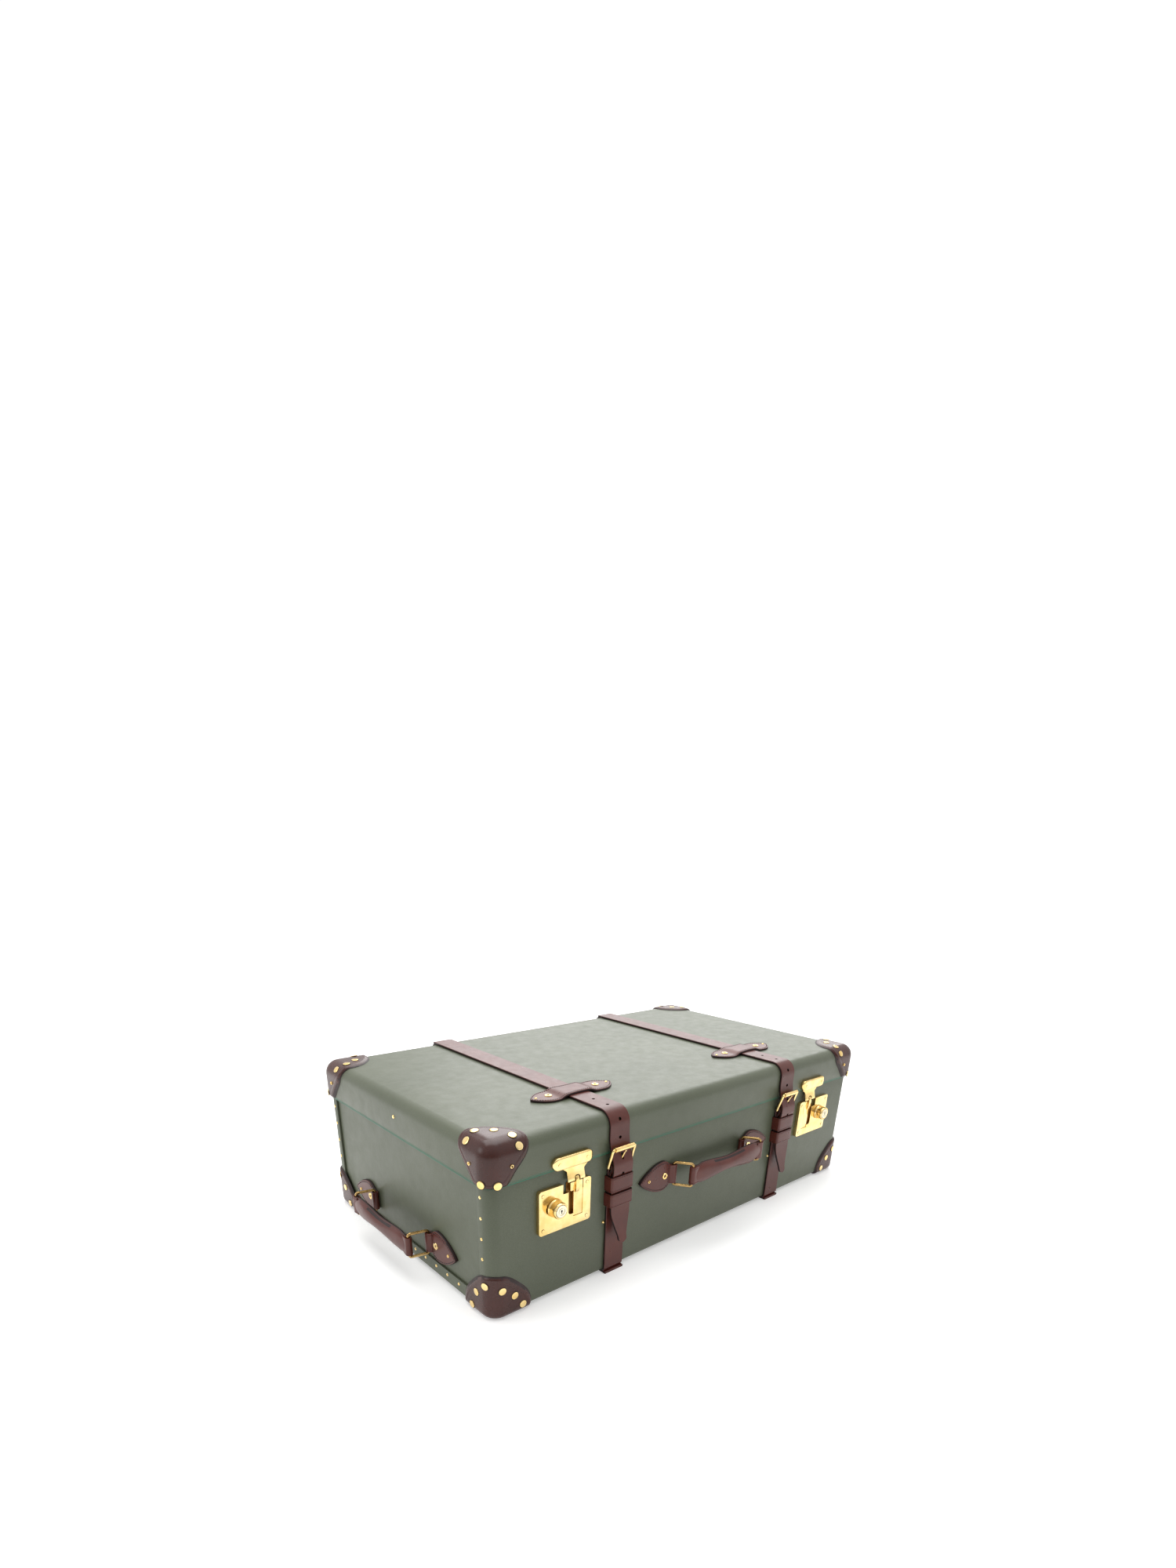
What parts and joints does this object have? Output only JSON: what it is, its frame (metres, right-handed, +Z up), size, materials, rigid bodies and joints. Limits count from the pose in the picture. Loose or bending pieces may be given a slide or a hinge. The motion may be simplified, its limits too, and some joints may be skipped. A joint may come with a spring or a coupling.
{
  "type": "footlocker",
  "caption": "Flat travelling trunk with a hinged lid, leather corner caps, buckled belts, swinging carry handles and front lever locks.",
  "frame": {"origin": "under the middle of the whole trunk's box, on the surface it stands on", "axes": "+Z up, the front with the locks and buckles faces -Y, the length runs along X"},
  "size_m": [0.802, 0.4742, 0.2374],
  "materials": {
    "fibreboard": "satin painted vulcanised fibre with a fine grain",
    "lining": "plain woven cotton",
    "hide": "oxblood bridle leather, satin, darker cut edges",
    "polished_brass": "polished",
    "aged_brass": "slightly aged wire",
    "pale_metal": "fine turned"
  },
  "bodies": {
    "base": {"base_body": "fibreboard", "base_lining": "lining", "end_panel_left": "fibreboard", "end_panel_right": "fibreboard", "base_corner_front_left": "hide", "base_corner_rear_left": "hide", "base_corner_front_right": "hide", "base_corner_rear_right": "hide", "hinge_base_leaf_left": "polished_brass", "hinge_pin_left": "polished_brass", "strap_base_left": "hide", "keeper_upper_left": "hide", "keeper_lower_left": "hide", "lock_plate_left": "polished_brass", "front_handle_chape_left": "hide", "end_handle_chape_left": "hide", "hinge_base_leaf_right": "polished_brass", "hinge_pin_right": "polished_brass", "strap_base_right": "hide", "keeper_upper_right": "hide", "keeper_lower_right": "hide", "lock_plate_right": "polished_brass", "front_handle_chape_right": "hide", "end_handle_chape_right": "hide"},
    "lid": {"lid_shell": "fibreboard", "lid_lining": "lining", "lid_corner_front_left": "hide", "lid_corner_rear_left": "hide", "lid_corner_front_right": "hide", "lid_corner_rear_right": "hide", "hinge_lid_leaf_left": "polished_brass", "strap_lid_left": "hide", "strap_guide_left": "hide", "lock_catch_left": "polished_brass", "hinge_lid_leaf_right": "polished_brass", "strap_lid_right": "hide", "strap_guide_right": "hide", "lock_catch_right": "polished_brass"},
    "billet_left": {"strap_billet_left": "hide"},
    "buckle_left": {"buckle_frame_left": "polished_brass"},
    "prong_left": {"buckle_prong_left": "polished_brass"},
    "roller_left": {"buckle_roller_left": "polished_brass"},
    "lever_left": {"lock_lever_left": "polished_brass"},
    "knob_left": {"lock_knob_left": "polished_brass"},
    "plug_left": {"lock_key_plug_left": "pale_metal"},
    "billet_right": {"strap_billet_right": "hide"},
    "buckle_right": {"buckle_frame_right": "polished_brass"},
    "prong_right": {"buckle_prong_right": "polished_brass"},
    "roller_right": {"buckle_roller_right": "polished_brass"},
    "lever_right": {"lock_lever_right": "polished_brass"},
    "knob_right": {"lock_knob_right": "polished_brass"},
    "plug_right": {"lock_key_plug_right": "pale_metal"},
    "front_ring_left": {"front_handle_ring_left": "aged_brass"},
    "front_grip": {"front_handle_grip": "hide"},
    "front_ring_right": {"front_handle_ring_right": "aged_brass"},
    "end_ring_left": {"end_handle_ring_left": "aged_brass"},
    "end_grip": {"end_handle_grip": "hide"},
    "end_ring_right": {"end_handle_ring_right": "aged_brass"}
  },
  "joints": [
    {"name": "lid_hinge", "type": "hinge", "parent": "base", "child": "lid", "pos_m": [0.01625, 0.23396, 0.1778], "axis": [-1, 0, 0], "range_deg": [0, 100]},
    {"name": "billet_hang_left", "type": "hinge", "parent": "lid", "child": "billet_left", "pos_m": [-0.16575, -0.20844, 0.18], "axis": [-1, 0, 0], "range_deg": [-100, 0], "deforming": ["strap_billet_left"]},
    {"name": "buckle_swing_left", "type": "hinge", "parent": "base", "child": "buckle_left", "pos_m": [-0.16575, -0.20629, 0.1587], "axis": [1, 0, 0], "range_deg": [0, 45]},
    {"name": "prong_swing_left", "type": "hinge", "parent": "buckle_left", "child": "prong_left", "pos_m": [-0.16575, -0.20629, 0.1587], "axis": [1, 0, 0], "range_deg": [0, 55]},
    {"name": "roller_spin_left", "type": "hinge", "parent": "buckle_left", "child": "roller_left", "pos_m": [-0.16575, -0.21444, 0.1862], "axis": [1, 0, 0], "continuous": true},
    {"name": "lever_swing_left", "type": "hinge", "parent": "base", "child": "lever_left", "pos_m": [-0.23425, -0.20394, 0.112], "axis": [1, 0, 0], "range_deg": [0, 90]},
    {"name": "knob_slide_left", "type": "slide", "parent": "base", "child": "knob_left", "axis": [-1, 0, 0], "range_m": [0, 0.006], "stiffness_N_per_m": 150},
    {"name": "key_turn_left", "type": "hinge", "parent": "knob_left", "child": "plug_left", "pos_m": [-0.27175, -0.21404, 0.1312], "axis": [0, -1, 0], "range_deg": [0, 90]},
    {"name": "billet_hang_right", "type": "hinge", "parent": "lid", "child": "billet_right", "pos_m": [0.19825, -0.20844, 0.18], "axis": [-1, 0, 0], "range_deg": [-100, 0], "deforming": ["strap_billet_right"]},
    {"name": "buckle_swing_right", "type": "hinge", "parent": "base", "child": "buckle_right", "pos_m": [0.19825, -0.20629, 0.1587], "axis": [1, 0, 0], "range_deg": [0, 45]},
    {"name": "prong_swing_right", "type": "hinge", "parent": "buckle_right", "child": "prong_right", "pos_m": [0.19825, -0.20629, 0.1587], "axis": [1, 0, 0], "range_deg": [0, 55]},
    {"name": "roller_spin_right", "type": "hinge", "parent": "buckle_right", "child": "roller_right", "pos_m": [0.19825, -0.21444, 0.1862], "axis": [1, 0, 0], "continuous": true},
    {"name": "lever_swing_right", "type": "hinge", "parent": "base", "child": "lever_right", "pos_m": [0.26676, -0.20394, 0.112], "axis": [1, 0, 0], "range_deg": [0, 90]},
    {"name": "knob_slide_right", "type": "slide", "parent": "base", "child": "knob_right", "axis": [1, 0, 0], "range_m": [0, 0.006], "stiffness_N_per_m": 150},
    {"name": "key_turn_right", "type": "hinge", "parent": "knob_right", "child": "plug_right", "pos_m": [0.30425, -0.21404, 0.1312], "axis": [0, -1, 0], "range_deg": [0, 90]},
    {"name": "front_ring_swing_left", "type": "hinge", "parent": "base", "child": "front_ring_left", "pos_m": [-0.05724, -0.20564, 0.117], "axis": [0, 0, 1], "range_deg": [-85, 15]},
    {"name": "front_grip_turn", "type": "hinge", "parent": "front_ring_left", "child": "front_grip", "pos_m": [-0.04176, -0.22775, 0.117], "axis": [0, 0, 1], "range_deg": [-15, 85]},
    {"name": "front_ring_swing_right", "type": "hinge", "parent": "base", "child": "front_ring_right", "pos_m": [0.09675, -0.20564, 0.117], "axis": [0, 0, 1], "range_deg": [-85, 15]},
    {"name": "end_ring_swing_left", "type": "hinge", "parent": "base", "child": "end_ring_left", "pos_m": [-0.36524, 0.09596, 0.051], "axis": [0, 0, 1], "range_deg": [-38, 62]},
    {"name": "end_grip_turn", "type": "hinge", "parent": "end_ring_left", "child": "end_grip", "pos_m": [-0.39165, 0.10158, 0.051], "axis": [0, 0, 1], "range_deg": [-62, 38]},
    {"name": "end_ring_swing_right", "type": "hinge", "parent": "base", "child": "end_ring_right", "pos_m": [-0.36524, -0.05804, 0.051], "axis": [0, 0, 1], "range_deg": [-38, 62]}
  ],
  "couplings": [
    {"joint": "billet_hang_left", "follows": "lid_hinge", "ratio": -1},
    {"joint": "billet_hang_right", "follows": "lid_hinge", "ratio": -1},
    {"joint": "front_grip_turn", "follows": "front_ring_swing_left", "ratio": -1},
    {"joint": "front_ring_swing_right", "follows": "front_ring_swing_left", "ratio": 1},
    {"joint": "end_grip_turn", "follows": "end_ring_swing_left", "ratio": -1},
    {"joint": "end_ring_swing_right", "follows": "end_ring_swing_left", "ratio": 1}
  ]
}
